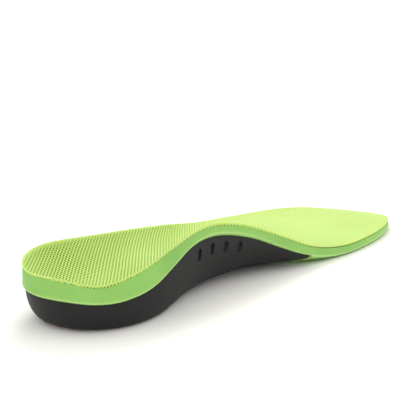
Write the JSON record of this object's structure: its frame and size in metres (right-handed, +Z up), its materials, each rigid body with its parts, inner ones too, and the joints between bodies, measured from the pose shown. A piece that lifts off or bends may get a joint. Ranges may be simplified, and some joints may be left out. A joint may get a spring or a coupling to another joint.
{
  "type": "cushioned insole",
  "caption": "Contoured left shoe insole: perforated knit cover on moulded foam, dark arch shell, gel pads at heel and forefoot.",
  "frame": {"origin": "middle of the insole's box, on the floor it lies on", "axes": "+X towards the toe, +Y towards the outer side of the foot, +Z up, out of the cushioned face"},
  "size_m": [0.26, 0.0934, 0.0327],
  "materials": {
    "knit": "perforated knit, yellow-green",
    "film": "hot-melt film, hidden",
    "foam": "moulded foam, mint green",
    "shell": "moulded, dark grey, matt",
    "cement": "cured contact cement, hidden",
    "gel": "moulded gel with a raised diamond texture"
  },
  "bodies": {
    "rearfoot": {"top_cover_rear": "knit", "cover_film_rear": "film", "foam_cushion_rear": "foam", "shell_cement": "cement", "arch_shell": "shell", "heel_pad": "gel", "heel_pad_cement": "cement"},
    "forefoot": {"foam_cushion_front": "foam", "cover_film_front": "film", "top_cover_front": "knit", "forefoot_pad_cement": "cement", "forefoot_pad": "gel"}
  },
  "joints": [
    {"name": "forefoot_flex", "type": "hinge", "parent": "rearfoot", "child": "forefoot", "pos_m": [0.00724, -0.00325, 0.0034], "axis": [0.1392, -0.9903, 0], "range_deg": [-15, 50], "stiffness_Nm_per_rad": 0.2}
  ]
}
